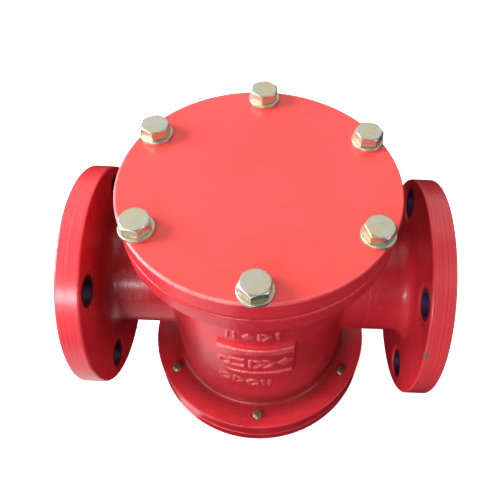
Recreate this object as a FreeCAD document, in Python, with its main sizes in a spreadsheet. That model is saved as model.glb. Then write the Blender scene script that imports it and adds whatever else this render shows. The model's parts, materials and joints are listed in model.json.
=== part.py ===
import FreeCAD, Part
import math
import os
import Sketcher

# A cast-iron basket strainer for a DN65 pipeline.
# +X is the flow direction along the pipe, +Z is up, and the origin is the middle of the footprint,
# at the level of the six bolt heads that the strainer stands on. All sizes are in millimetres.

DRIVING_DIMENSIONS = [
    ("bore_radius", 32.5, "clear bore of both branches"),
    ("branch_radius", 39.5, "outside of the branch pipe"),
    ("stub_end", 90, "origin to the end of the pot's stubs, where the branches begin"),
    ("face_half", 145, "origin to the sealing face of a pipe flange"),
    ("raised_face", 2, "height of the sealing face"),
    ("raised_face_radius", 61, "radius of the sealing face"),
    ("pipe_flange_radius", 92.5, "pipe flange"),
    ("pipe_flange_thickness", 18, "pipe flange without its sealing face"),
    ("pipe_bolt_circle", 72.5, "radius of the pipe flange's bolt circle"),
    ("pipe_bolt_hole", 9.5, "radius of a pipe flange bolt hole"),
    ("spot_face_radius", 16, "machined seat round each pipe bolt hole"),
    ("spot_face_depth", 1, "depth of that seat"),
    ("centre_height", 124, "height of the pipe's centreline"),
    ("pot_radius", 79, "outside of the pot"),
    ("pot_bore", 71.5, "inside of the pot"),
    ("body_top", 227.3, "height of the body's top face"),
    ("top_flange_radius", 100, "body's top flange, and the cover"),
    ("top_flange_rim", 14, "height of the top flange's upright edge"),
    ("hub_height", 23, "height of the cone below that edge"),
    ("bottom_flange_radius", 103, "bottom flange, and the bottom plate"),
    ("bottom_flange_thickness", 16, "bottom flange"),
    ("plate_thickness", 13, "bottom plate"),
    ("gasket_thickness", 2, "cover gasket and bottom gasket"),
    ("cover_gasket_recess", 0.8, "how far both gaskets stay inside the edge"),
    ("cover_thickness", 16, "cover"),
    ("ledge_top", 172, "height of the ledge that carries the basket"),
    ("ledge_thickness", 12, "ledge"),
    ("ledge_bore", 58, "opening in the ledge"),
    ("sleeve_radius", 38, "outside of the inlet sleeve"),
    ("sleeve_bore_gap", 0.5, "gap between the sleeve's end and the basket"),
    ("cover_bolt_circle", 90, "radius of the cover's bolt circle"),
    ("cover_bolt_radius", 6, "cover bolt shank"),
    ("cover_bolt_length", 35, "cover bolt below its head"),
    ("cover_bolt_flats", 19, "cover bolt head across the flats"),
    ("cover_bolt_head", 7.5, "height of the cover bolt's head"),
    ("cover_hole_radius", 6.75, "hole in the cover for a bolt"),
    ("tapped_gap", 0.08, "radial gap round a shank in its tapped hole"),
    ("tapped_depth", 16.5, "depth of a cover bolt's tapped hole"),
    ("washer_radius", 12, "cover washer"),
    ("washer_bore", 6.5, "hole in the cover washer"),
    ("washer_thickness", 2.5, "cover washer"),
    ("bottom_bolt_circle", 90.7, "radius of the bottom bolt circle"),
    ("bottom_bolt_radius", 4, "bottom bolt shank"),
    ("bottom_bolt_length", 35, "bottom bolt above its head"),
    ("bottom_bolt_flats", 13, "bottom bolt head across the flats"),
    ("bottom_bolt_head", 5.3, "height of the bottom bolt's head"),
    ("plate_hole_radius", 4.5, "hole in the bottom plate for a bolt"),
    ("basket_gasket_thickness", 1.5, "gasket under the basket's rim"),
    ("rim_radius", 69, "outside of the basket's rim"),
    ("rim_bore", 52, "inside of the basket's rim"),
    ("rim_thickness", 4, "basket's rim"),
    ("screen_radius", 55, "outside of the screen"),
    ("screen_thickness", 1.5, "sheet of the screen"),
    ("screen_bottom", 30, "height of the screen's lower end"),
    ("floor_thickness", 3, "basket's floor"),
    ("frame_radius", 37.5, "outside of the ring behind the inlet window"),
    ("lug_inner", 59.5, "origin to a lug's inner face"),
    ("lug_thickness", 3, "lug"),
    ("lug_height", 12, "lug above the rim"),
    ("lug_half_width", 6, "half the width of a lug"),
    ("wire_radius", 2.5, "handle wire"),
    ("wire_gap", 0.1, "radial gap round the wire in a lug"),
    ("handle_half_width", 56, "origin to a leg of the handle"),
    ("handle_reach", 40, "pivot to the grip of the handle"),
    ("handle_corner", 18, "radius of the handle's corners"),
    ("handle_stub", 64.5, "origin to the end of a pivot stub"),
    ("pivot_height", 184, "height of the handle's pivot"),
    ("pad_outer", 81, "outside of the cast name pad"),
    ("pad_bottom", 100, "lower edge of the cast name pad"),
    ("pad_top", 151, "upper edge of the cast name pad"),
    ("pad_span", 44, "angle that the cast name pad covers"),
    ("edge_round", 1.5, "rounding of machined edges"),
    ("neck_round", 10, "rounding between a branch and its flange"),
    ("saddle_round", 8, "rounding between a branch and the pot"),
    ("foot_round", 4, "rounding between the pot and the bottom flange"),
    ("hub_round", 9, "rounding where the cone meets the pot"),
    ("bolt_chamfer", 1, "chamfer at the end of a bolt"),
]

BOLT_COUNT = 6
PIPE_BOLT_COUNT = 4
BOLT_ANGLES = [91 + 60 * step for step in range(BOLT_COUNT)]
HEAD_TURNS = [25, 27, 50, 18, 52, 57]    # how far each cover bolt's head happens to be turned
HANDLE_REST_TILT = 5                     # degrees that the folded handle drops, down to the rim
FULL_TURN = 360
HEX_SIDES = 6
HEAD_CHAMFER_ANGLE = 30
OVERRUN = 5                              # how far a cutting shape runs past what it cuts

# Levels and radii that follow from the driving dimensions, as spreadsheet expressions
PLATE_TOP = "(Dims.bottom_bolt_head + Dims.plate_thickness)"
BODY_BOTTOM = f"({PLATE_TOP} + Dims.gasket_thickness)"
BOTTOM_FLANGE_TOP = f"({BODY_BOTTOM} + Dims.bottom_flange_thickness)"
RIM_BASE = "(Dims.body_top - Dims.top_flange_rim)"
HUB_BASE = f"({RIM_BASE} - Dims.hub_height)"
LEDGE_BASE = "(Dims.ledge_top - Dims.ledge_thickness)"
COVER_BOTTOM = "(Dims.body_top + Dims.gasket_thickness)"
COVER_TOP = f"({COVER_BOTTOM} + Dims.cover_thickness)"
HEAD_BASE = f"({COVER_TOP} + Dims.washer_thickness)"
BASKET_GASKET_TOP = "(Dims.ledge_top + Dims.basket_gasket_thickness)"
RIM_TOP = f"({BASKET_GASKET_TOP} + Dims.rim_thickness)"
SCREEN_INNER = "(Dims.screen_radius - Dims.screen_thickness)"
RIM_FACE = "(Dims.face_half - Dims.raised_face)"
FLANGE_BACK = f"({RIM_FACE} - Dims.pipe_flange_thickness)"
SLEEVE_END = "(Dims.screen_radius + Dims.sleeve_bore_gap)"

doc = FreeCAD.newDocument("basket_strainer")
dims = doc.addObject("Spreadsheet::Sheet", "Dims")
nodes = []


def fill_sheet():
    """One row for each driving dimension: what it is, and its value under its own name."""
    for row, (name, value, meaning) in enumerate(DRIVING_DIMENSIONS, start=1):
        dims.set(f"A{row}", meaning)
        dims.set(f"B{row}", str(value))
        dims.setAlias(f"B{row}", name)
    doc.recompute()


def size(expression):
    """The number that an expression stands for now."""
    result = dims.evalExpression(expression)
    return float(getattr(result, "Value", result))


def mark_node(piece, label):
    piece.Label = label
    nodes.append(piece)
    return piece


def new_body(label):
    return mark_node(doc.addObject("PartDesign::Body", label), label)


def place(piece, x="0", y="0", z="0", turn=0):
    """Stand a finished piece at x, y, z, turned about the vertical by some degrees."""
    piece.Placement = FreeCAD.Placement(
        FreeCAD.Vector(size(x), size(y), size(z)), FreeCAD.Rotation(FreeCAD.Vector(0, 0, 1), turn)
    )
    for axis, expression in (("x", x), ("y", y), ("z", z)):
        if expression != "0":
            piece.setExpression(f"Placement.Base.{axis}", expression)


def on_circle(radius, angle):
    """The two expressions of a point on a circle about the vertical axis."""
    return f"{radius} * cos({angle} deg)", f"{radius} * sin({angle} deg)"


# Sketch helpers ------------------------------------------------------------------------------

def origin_part(body, role):
    """One of the body's own planes or axes."""
    return [feature for feature in body.Origin.OriginFeatures if feature.Role == role][0]


def sketch_on(body, name, plane, offset="0", rise="0"):
    """A sketch on one of the body's origin planes, moved along its normal and up its own y axis."""
    sketch = body.newObject("Sketcher::SketchObject", name)
    sketch.AttachmentSupport = (origin_part(body, plane), [""])
    sketch.MapMode = "FlatFace"
    if offset != "0":
        sketch.setExpression("AttachmentOffset.Base.z", offset)
    if rise != "0":
        sketch.setExpression("AttachmentOffset.Base.y", rise)
    return sketch


def pin(sketch, edge, end, x, y):
    """Hold one end of an edge at x, y from the sketch's origin."""
    for kind, expression, axis in (("DistanceX", x, -2), ("DistanceY", y, -1)):
        distance = size(expression)
        if abs(distance) < 1e-9:
            sketch.addConstraint(Sketcher.Constraint("PointOnObject", edge, end, axis))
        else:
            row = sketch.addConstraint(Sketcher.Constraint(kind, -1, 1, edge, end, distance))
            sketch.setExpression(f"Constraints[{row}]", expression)


def outline(sketch, corners):
    """A closed outline of straight edges through the corners."""
    points = [FreeCAD.Vector(size(x), size(y), 0) for x, y in corners]
    following = points[1:] + points[:1]
    for start, end in zip(points, following):
        sketch.addGeometry(Part.LineSegment(start, end), False)
    for edge, (x, y) in enumerate(corners):
        sketch.addConstraint(Sketcher.Constraint("Coincident", edge, 1, (edge - 1) % len(corners), 2))
        pin(sketch, edge, 1, x, y)
    return sketch


def circle(sketch, radius, x="0", y="0"):
    centre = FreeCAD.Vector(size(x), size(y), 0)
    edge = sketch.addGeometry(Part.Circle(centre, FreeCAD.Vector(0, 0, 1), size(radius)), False)
    pin(sketch, edge, 3, x, y)
    row = sketch.addConstraint(Sketcher.Constraint("Radius", edge, size(radius)))
    sketch.setExpression(f"Constraints[{row}]", radius)
    return sketch


def rectangle(sketch, left, right, low, high):
    return outline(sketch, [(left, low), (right, low), (right, high), (left, high)])


# Feature helpers -----------------------------------------------------------------------------

def revolve(body, sketch, kind="PartDesign::Revolution", axis="V_Axis"):
    feature = body.newObject(kind, sketch.Name + "_revolved")
    feature.Profile = sketch
    feature.ReferenceAxis = (sketch, [axis])
    feature.Angle = FULL_TURN
    return feature


def pad(body, sketch, length, down=False):
    feature = body.newObject("PartDesign::Pad", sketch.Name + "_pad")
    feature.Profile = sketch
    feature.setExpression("Length", length)
    feature.Reversed = down
    return feature


def pocket(body, sketch, depth, forward=False):
    """Cut against the sketch's normal, or along it when forward is set."""
    feature = body.newObject("PartDesign::Pocket", sketch.Name + "_pocket")
    feature.Profile = sketch
    feature.setExpression("Length", depth)
    feature.Reversed = forward
    doc.recompute()
    before = feature.BaseFeature.Shape.Volume
    if feature.Shape.Volume >= before:
        raise RuntimeError(f"{feature.Name} cuts nothing")
    return feature


def repeat_round(body, feature):
    """Repeat a bolt hole evenly about the body's vertical axis."""
    pattern = body.newObject("PartDesign::PolarPattern", feature.Name + "_round")
    pattern.Originals = [feature]
    pattern.Axis = (origin_part(body, "Z_Axis"), [""])
    pattern.Angle = FULL_TURN
    pattern.Occurrences = BOLT_COUNT
    body.Tip = pattern
    doc.recompute()
    return pattern


def dress(body, kind, edges, radius):
    """A fillet or a chamfer along the edges that a test picks out of the shape so far."""
    doc.recompute()
    base = body.Tip
    names = [f"Edge{row}" for row, edge in enumerate(base.Shape.Edges, start=1) if edges(edge)]
    if not names:
        raise RuntimeError(f"{body.Label} has no such edge")
    feature = body.newObject(f"PartDesign::{kind}", f"{kind}_{len(body.Group)}")
    feature.Base = (base, names)
    feature.setExpression("Radius" if kind == "Fillet" else "Size", radius)
    doc.recompute()
    return feature


def ring_at(radius, height, axis=(0, 0, 1)):
    """A test for circular edges of one radius whose centre lies at one distance along an axis."""
    direction = FreeCAD.Vector(*axis)

    def matches(edge):
        curve = edge.Curve
        if not isinstance(curve, Part.Circle):
            return False
        level = curve.Center.dot(direction)
        return abs(curve.Radius - size(radius)) < 0.01 and abs(level - size(height)) < 0.01

    return matches


def any_of(*tests):
    return lambda edge: any(test(edge) for test in tests)


# The body casting ----------------------------------------------------------------------------

def pot_outside(body):
    profile = outline(
        sketch_on(body, "pot_outside", "XZ_Plane"),
        [
            ("0", BODY_BOTTOM),
            ("Dims.bottom_flange_radius", BODY_BOTTOM),
            ("Dims.bottom_flange_radius", BOTTOM_FLANGE_TOP),
            ("Dims.pot_radius", BOTTOM_FLANGE_TOP),
            ("Dims.pot_radius", HUB_BASE),
            ("Dims.top_flange_radius", RIM_BASE),
            ("Dims.top_flange_radius", "Dims.body_top"),
            ("0", "Dims.body_top"),
        ],
    )
    revolve(body, profile)


def branch_stubs(body):
    """The two short stubs that the branches continue, made as one round bar through the pot."""
    bar = circle(
        sketch_on(body, "branch_stubs", "YZ_Plane", offset="-Dims.stub_end", rise="Dims.centre_height"),
        "Dims.branch_radius",
    )
    pad(body, bar, "Dims.stub_end * 2")


def name_pad(body):
    """The raised cast pad on the front of the pot, wrapped round it."""
    profile = rectangle(
        sketch_on(body, "name_pad", "YZ_Plane"),
        "-Dims.pad_outer", "-Dims.pot_bore", "Dims.pad_bottom", "Dims.pad_top",
    )
    raised = revolve(body, profile)
    raised.Midplane = True
    raised.setExpression("Angle", "Dims.pad_span")


def pot_inside(body):
    """The machined bore: wide above the ledge, narrow through it, and wide again down to the base."""
    profile = outline(
        sketch_on(body, "pot_inside", "XZ_Plane"),
        [
            ("0", f"{BODY_BOTTOM} - {OVERRUN}"),
            ("Dims.pot_bore", f"{BODY_BOTTOM} - {OVERRUN}"),
            ("Dims.pot_bore", LEDGE_BASE),
            ("Dims.ledge_bore", LEDGE_BASE),
            ("Dims.ledge_bore", "Dims.ledge_top"),
            ("Dims.pot_bore", "Dims.ledge_top"),
            ("Dims.pot_bore", f"Dims.body_top + {OVERRUN}"),
            ("0", f"Dims.body_top + {OVERRUN}"),
        ],
    )
    revolve(body, profile, kind="PartDesign::Groove")


def inlet_sleeve(body):
    """The cast sleeve that leads the flow from the inlet to the basket's window."""
    wall_middle = "(Dims.pot_bore + Dims.pot_radius) / 2"
    sleeve = circle(
        sketch_on(body, "inlet_sleeve", "YZ_Plane", offset=f"-{wall_middle}", rise="Dims.centre_height"),
        "Dims.sleeve_radius",
    )
    pad(body, sleeve, wall_middle)
    clearance = circle(
        sketch_on(body, "basket_clearance", "XY_Plane", offset="Dims.ledge_top"), SLEEVE_END
    )
    pocket(body, clearance, "Dims.ledge_top")


def branch_bores(body):
    for name, forward in (("inlet_bore", False), ("outlet_bore", True)):
        bore = circle(
            sketch_on(body, name, "YZ_Plane", rise="Dims.centre_height"), "Dims.bore_radius"
        )
        pocket(body, bore, f"Dims.face_half + {OVERRUN}", forward)


def tapped_holes(body):
    for name, circle_radius, radius, top, depth in (
        ("cover_tapping", "Dims.cover_bolt_circle", "Dims.cover_bolt_radius + Dims.tapped_gap",
         "Dims.body_top", "Dims.tapped_depth"),
        ("bottom_tapping", "Dims.bottom_bolt_circle", "Dims.bottom_bolt_radius + Dims.tapped_gap",
         BOTTOM_FLANGE_TOP, "Dims.bottom_flange_thickness"),
    ):
        hole = circle(
            sketch_on(body, name, "XY_Plane", offset=top), radius, *on_circle(circle_radius, BOLT_ANGLES[0])
        )
        repeat_round(body, pocket(body, hole, depth))


def body_roundings(body):
    """The casting's fillets, from the large soft ones to the small ones on machined edges."""
    dress(body, "Fillet", is_branch_saddle, "Dims.saddle_round")
    dress(body, "Fillet", ring_at("Dims.pot_radius", HUB_BASE), "Dims.hub_round")
    dress(body, "Fillet", ring_at("Dims.pot_radius", BOTTOM_FLANGE_TOP), "Dims.foot_round")
    dress(body, "Fillet", any_of(
        ring_at("Dims.top_flange_radius", "Dims.body_top"),
        ring_at("Dims.top_flange_radius", RIM_BASE),
        ring_at("Dims.bottom_flange_radius", BOTTOM_FLANGE_TOP),
        ring_at("Dims.bottom_flange_radius", BODY_BOTTOM),
    ), "Dims.edge_round")


def is_branch_saddle(edge):
    """The curve where a branch meets the outside of the pot: neither straight nor round."""
    if isinstance(edge.Curve, (Part.Line, Part.Circle)):
        return False
    middle = edge.valueAt((edge.FirstParameter + edge.LastParameter) / 2)
    outside = math.hypot(middle.x, middle.y) > size("Dims.pot_radius") - 0.1
    from_centreline = math.hypot(middle.y, middle.z - size("Dims.centre_height"))
    return outside and abs(from_centreline - size("Dims.branch_radius")) < 0.1


def make_body():
    body = new_body("body")
    pot_outside(body)
    branch_stubs(body)
    body_roundings(body)
    name_pad(body)
    pot_inside(body)
    inlet_sleeve(body)
    branch_bores(body)
    tapped_holes(body)


# The flanged branches ------------------------------------------------------------------------
# They are parts of the same casting, kept as solids of their own that meet the pot's stubs face to face.

def branch_blank(body):
    """Half a section of the branch and its pipe flange, turned about the pipe's centreline."""
    profile = outline(
        sketch_on(body, body.Label + "_section", "XZ_Plane"),
        [
            ("Dims.stub_end", "Dims.bore_radius"),
            ("Dims.face_half", "Dims.bore_radius"),
            ("Dims.face_half", "Dims.raised_face_radius"),
            (RIM_FACE, "Dims.raised_face_radius"),
            (RIM_FACE, "Dims.pipe_flange_radius"),
            (FLANGE_BACK, "Dims.pipe_flange_radius"),
            (FLANGE_BACK, "Dims.branch_radius"),
            ("Dims.stub_end", "Dims.branch_radius"),
        ],
    )
    revolve(body, profile, axis="H_Axis")


def branch_roundings(body):
    across = (1, 0, 0)
    dress(body, "Fillet", ring_at("Dims.branch_radius", FLANGE_BACK, across), "Dims.neck_round")
    dress(body, "Fillet", any_of(
        ring_at("Dims.pipe_flange_radius", RIM_FACE, across),
        ring_at("Dims.pipe_flange_radius", FLANGE_BACK, across),
    ), "Dims.edge_round")


def pipe_bolt_holes(body):
    """Four holes that straddle the flange's centrelines, spot-faced from behind."""
    for name, radius, start, depth in (
        ("bolt_holes", "Dims.pipe_bolt_hole", "Dims.face_half", "Dims.pipe_flange_thickness * 2"),
        ("spot_faces", "Dims.spot_face_radius", f"{FLANGE_BACK} + Dims.spot_face_depth",
         "Dims.spot_face_depth * 2"),
    ):
        sketch = sketch_on(body, f"{body.Label}_{name}", "YZ_Plane", offset=start)
        for step in range(PIPE_BOLT_COUNT):
            angle = FULL_TURN / PIPE_BOLT_COUNT * (step + 0.5)
            circle(sketch, radius, *on_circle("Dims.pipe_bolt_circle", angle))
        pocket(body, sketch, depth)


def make_branches():
    for label, turn in (("inlet_branch", FULL_TURN / 2), ("outlet_branch", 0)):
        body = new_body(label)
        branch_blank(body)
        branch_roundings(body)
        pipe_bolt_holes(body)
        place(body, z="Dims.centre_height", turn=turn)


# Cover, plate and gaskets --------------------------------------------------------------------

def make_disc(label, radius, thickness, height, bolt_circle, hole_radius, bore=None, rounding=None):
    """A round plate or ring with a circle of bolt holes, resting at its height."""
    body = new_body(label)
    blank = circle(sketch_on(body, label + "_blank", "XY_Plane"), radius)
    if bore:
        circle(blank, bore)
    pad(body, blank, thickness)
    if rounding:
        dress(body, "Fillet", any_of(ring_at(radius, "0"), ring_at(radius, thickness)), rounding)
    hole = circle(
        sketch_on(body, label + "_hole", "XY_Plane", offset=thickness),
        hole_radius, *on_circle(bolt_circle, BOLT_ANGLES[0]),
    )
    repeat_round(body, pocket(body, hole, thickness))
    place(body, z=height)
    return body


def make_plates():
    gasket_edge = "Dims.cover_gasket_recess"
    make_disc("top_cover", "Dims.top_flange_radius", "Dims.cover_thickness", COVER_BOTTOM,
              "Dims.cover_bolt_circle", "Dims.cover_hole_radius", rounding="Dims.edge_round")
    make_disc("cover_gasket", f"Dims.top_flange_radius - {gasket_edge}", "Dims.gasket_thickness",
              "Dims.body_top", "Dims.cover_bolt_circle", "Dims.cover_hole_radius", bore="Dims.pot_bore")
    make_disc("bottom_gasket", f"Dims.bottom_flange_radius - {gasket_edge}", "Dims.gasket_thickness",
              PLATE_TOP, "Dims.bottom_bolt_circle", "Dims.plate_hole_radius", bore="Dims.pot_bore")
    make_disc("bottom_plate", "Dims.bottom_flange_radius", "Dims.plate_thickness", "Dims.bottom_bolt_head",
              "Dims.bottom_bolt_circle", "Dims.plate_hole_radius", rounding="Dims.edge_round")


# Bolts and washers ---------------------------------------------------------------------------

def hex_bolt(label, flats, head, radius, length):
    """A hex bolt standing on its shank's end, its head's seat at height 0 and its shank below."""
    body = new_body(label)
    corner_radius = f"({flats} / 2 / cos(30 deg))"
    corners = [on_circle(corner_radius, FULL_TURN / HEX_SIDES * side) for side in range(HEX_SIDES)]
    pad(body, outline(sketch_on(body, label + "_hexagon", "XY_Plane"), corners), head)
    shank = circle(sketch_on(body, label + "_shank", "XY_Plane"), radius)
    pad(body, shank, length, down=True)
    dress(body, "Chamfer", ring_at(radius, f"-{length}"), "Dims.bolt_chamfer")
    face_radius = f"({flats} / 2 * 0.95)"
    outer_radius = f"({flats} / 2 * 1.3)"
    drop = f"({outer_radius} - {face_radius}) * tan({HEAD_CHAMFER_ANGLE} deg)"
    corner_cut = outline(
        sketch_on(body, label + "_corner_cut", "XZ_Plane"),
        [(face_radius, head), (outer_radius, f"{head} - {drop}"), (outer_radius, head)],
    )
    revolve(body, corner_cut, kind="PartDesign::Groove")
    return body


def make_cover_fasteners():
    for number, (angle, turn) in enumerate(zip(BOLT_ANGLES, HEAD_TURNS), start=1):
        x, y = on_circle("Dims.cover_bolt_circle", angle)
        bolt = hex_bolt(
            f"cover_bolt_{number}", "Dims.cover_bolt_flats", "Dims.cover_bolt_head",
            "Dims.cover_bolt_radius", "Dims.cover_bolt_length",
        )
        place(bolt, x, y, HEAD_BASE, turn)
        washer = new_body(f"cover_washer_{number}")
        ring = circle(sketch_on(washer, f"washer_ring_{number}", "XY_Plane"), "Dims.washer_radius")
        circle(ring, "Dims.washer_bore")
        pad(washer, ring, "Dims.washer_thickness")
        place(washer, x, y, COVER_TOP)


def make_bottom_bolts():
    """Bolts put in from below, so each one is turned over about a horizontal axis."""
    for number, angle in enumerate(BOLT_ANGLES, start=1):
        x, y = on_circle("Dims.bottom_bolt_circle", angle)
        bolt = hex_bolt(
            f"bottom_bolt_{number}", "Dims.bottom_bolt_flats", "Dims.bottom_bolt_head",
            "Dims.bottom_bolt_radius", "Dims.bottom_bolt_length",
        )
        place(bolt, x, y, "Dims.bottom_bolt_head")
        bolt.Placement.Rotation = FreeCAD.Rotation(FreeCAD.Vector(1, 0, 0), FULL_TURN / 2)


# The basket ----------------------------------------------------------------------------------

def make_ring(label, radius, bore, thickness, height):
    body = new_body(label)
    ring = circle(sketch_on(body, label + "_ring", "XY_Plane"), radius)
    if bore:
        circle(ring, bore)
    pad(body, ring, thickness)
    place(body, z=height)
    return body


def make_screen():
    """The screen's sheet, rolled into a tube, with a round window towards the inlet."""
    screen = make_ring(
        "basket_screen", "Dims.screen_radius", SCREEN_INNER,
        f"{BASKET_GASKET_TOP} - Dims.screen_bottom", "Dims.screen_bottom",
    )
    window = circle(
        sketch_on(screen, "window", "YZ_Plane", rise="Dims.centre_height - Dims.screen_bottom"),
        "Dims.bore_radius",
    )
    pocket(screen, window, f"Dims.screen_radius + {OVERRUN}")


def make_window_frame():
    """A ring of sheet behind the edge of the inlet window, rolled to the screen's inside."""
    inner_radius = f"({SCREEN_INNER} - Dims.screen_thickness)"
    sheet = doc.addObject("Part::Cylinder", "frame_sheet")
    hollow = doc.addObject("Part::Cylinder", "frame_hollow")
    for solid, radius in ((sheet, SCREEN_INNER), (hollow, inner_radius)):
        solid.setExpression("Radius", radius)
        solid.setExpression("Height", "Dims.frame_radius * 4")
        solid.setExpression("Placement.Base.z", "Dims.centre_height - Dims.frame_radius * 2")
    disc = doc.addObject("Part::Cylinder", "frame_disc")
    opening = doc.addObject("Part::Cylinder", "frame_opening")
    towards_inlet = FreeCAD.Rotation(FreeCAD.Vector(0, 1, 0), -90)
    for solid, radius in ((disc, "Dims.frame_radius"), (opening, "Dims.bore_radius")):
        solid.Placement = FreeCAD.Placement(FreeCAD.Vector(0, 0, 0), towards_inlet)
        solid.setExpression("Radius", radius)
        solid.setExpression("Height", "Dims.screen_radius")
        solid.setExpression("Placement.Base.z", "Dims.centre_height")
    tube = cut("frame_tube", sheet, hollow)
    annulus = cut("frame_annulus", disc, opening)
    frame = doc.addObject("Part::Common", "basket_window_frame")
    frame.Base = tube
    frame.Tool = annulus
    mark_node(frame, "basket_window_frame")


def cut(name, base, tool):
    result = doc.addObject("Part::Cut", name)
    result.Base = base
    result.Tool = tool
    return result


def make_lugs():
    """Two upright ears on the rim that the handle's wire turns in."""
    for label, side in (("basket_lug_front", -1), ("basket_lug_back", 1)):
        body = new_body(label)
        near = f"({side} * Dims.lug_inner)" if side > 0 else "(-Dims.lug_inner - Dims.lug_thickness)"
        plan = rectangle(
            sketch_on(body, label + "_plan", "XY_Plane"),
            "-Dims.lug_half_width", "Dims.lug_half_width", near, f"{near} + Dims.lug_thickness",
        )
        pad(body, plan, "Dims.lug_height")
        dress(body, "Fillet", is_upper_lug_corner, "Dims.lug_half_width - 1")
        eye = circle(
            sketch_on(body, label + "_eye", "XZ_Plane"),
            "Dims.wire_radius + Dims.wire_gap", y=f"Dims.pivot_height - {RIM_TOP}",
        )
        pocket(body, eye, "Dims.handle_stub", forward=side < 0)
        place(body, z=RIM_TOP)


def is_upper_lug_corner(edge):
    """The two top edges of a lug that run along Y."""
    ends = [vertex.Point for vertex in edge.Vertexes]
    if len(ends) != 2:
        return False
    along_y = abs(ends[0].y - ends[1].y) > 1
    at_top = all(abs(end.z - size("Dims.lug_height")) < 0.01 for end in ends)
    return along_y and at_top


def handle_path(sketch):
    """The wire's centreline, drawn flat: pinned straight runs, joined by quarter-round bends."""
    half, reach, corner = "Dims.handle_half_width", "Dims.handle_reach", "Dims.handle_corner"
    bend = "(Dims.wire_radius * 2)"
    runs = [
        (("0", "-Dims.handle_stub"), ("0", f"-{half} - {bend}")),
        ((bend, f"-{half}"), (f"{reach} - {corner}", f"-{half}")),
        ((reach, f"-{half} + {corner}"), (reach, f"{half} - {corner}")),
        ((f"{reach} - {corner}", half), (bend, half)),
        (("0", f"{half} + {bend}"), ("0", "Dims.handle_stub")),
    ]
    for row, ends in enumerate(runs):
        start, end = (FreeCAD.Vector(size(x), size(y), 0) for x, y in ends)
        sketch.addGeometry(Part.LineSegment(start, end), False)
        pin(sketch, row, 1, *ends[0])
        pin(sketch, row, 2, *ends[1])
    # Each bend: its centre, radius and first angle, and the run's end that each of its own ends meets
    bends = [
        ((bend, f"-{half} - {bend}"), bend, 90, (1, 1), (0, 2)),
        ((f"{reach} - {corner}", f"-{half} + {corner}"), corner, -90, (1, 2), (2, 1)),
        ((f"{reach} - {corner}", f"{half} - {corner}"), corner, 0, (2, 2), (3, 1)),
        ((bend, f"{half} + {bend}"), bend, 180, (4, 1), (3, 2)),
    ]
    for (x, y), radius, first_angle, first_run, last_run in bends:
        round_line = Part.Circle(FreeCAD.Vector(size(x), size(y), 0), FreeCAD.Vector(0, 0, 1), size(radius))
        first = math.radians(first_angle)
        arc = sketch.addGeometry(Part.ArcOfCircle(round_line, first, first + math.pi / 2), False)
        sketch.addConstraint(Sketcher.Constraint("Coincident", arc, 1, *first_run))
        sketch.addConstraint(Sketcher.Constraint("Coincident", arc, 2, *last_run))
        row = sketch.addConstraint(Sketcher.Constraint("Radius", arc, size(radius)))
        sketch.setExpression(f"Constraints[{row}]", radius)


def make_handle():
    """The bent wire handle, folded over towards the outlet and resting on the rim."""
    body = new_body("basket_handle")
    path = sketch_on(body, "handle_path", "XY_Plane")
    handle_path(path)
    section = circle(
        sketch_on(body, "handle_section", "XZ_Plane", offset="Dims.handle_stub"), "Dims.wire_radius"
    )
    doc.recompute()
    wire = body.newObject("PartDesign::AdditivePipe", "handle_wire")
    wire.Profile = section
    wire.Spine = (path, [])
    place(body, z="Dims.pivot_height")
    body.Placement.Rotation = FreeCAD.Rotation(FreeCAD.Vector(0, 1, 0), HANDLE_REST_TILT)


def make_basket():
    make_ring("basket_gasket", "Dims.rim_radius", "Dims.ledge_bore", "Dims.basket_gasket_thickness",
              "Dims.ledge_top")
    make_ring("basket_rim", "Dims.rim_radius", "Dims.rim_bore", "Dims.rim_thickness", BASKET_GASKET_TOP)
    make_screen()
    make_ring("basket_floor", "Dims.screen_radius", None, "Dims.floor_thickness",
              "Dims.screen_bottom - Dims.floor_thickness")
    make_window_frame()
    make_lugs()
    make_handle()


# Checks and export ---------------------------------------------------------------------------

def check_document():
    doc.recompute()
    for item in doc.Objects:
        if "Invalid" in item.State or "Error" in item.State:
            raise RuntimeError(f"{item.Name} failed: {item.State}")
    for piece in nodes:
        if piece.Shape.isNull() or not piece.Shape.isValid() or not piece.Shape.Solids:
            raise RuntimeError(f"{piece.Label} has no valid solid")


def write_parts():
    os.makedirs("parts", exist_ok=True)
    for piece in nodes:
        piece.Shape.exportStep(f"parts/{piece.Label}.step")
        box = piece.Shape.BoundBox
        print(f"{piece.Label}: {len(piece.Shape.Solids)} solid, volume {piece.Shape.Volume:.0f} mm3, "
              f"z {box.ZMin:.2f} to {box.ZMax:.2f}")


fill_sheet()
make_body()
make_branches()
make_plates()
make_cover_fasteners()
make_bottom_bolts()
make_basket()
check_document()
write_parts()
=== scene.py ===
"""The looks of a red-painted cast-iron basket strainer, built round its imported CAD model.

Lengths are in metres and the frame is the CAD model's: +X is the flow direction and +Z is up.
"""

import json
import math

import bpy
from mathutils import Matrix, Vector, noise


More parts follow.
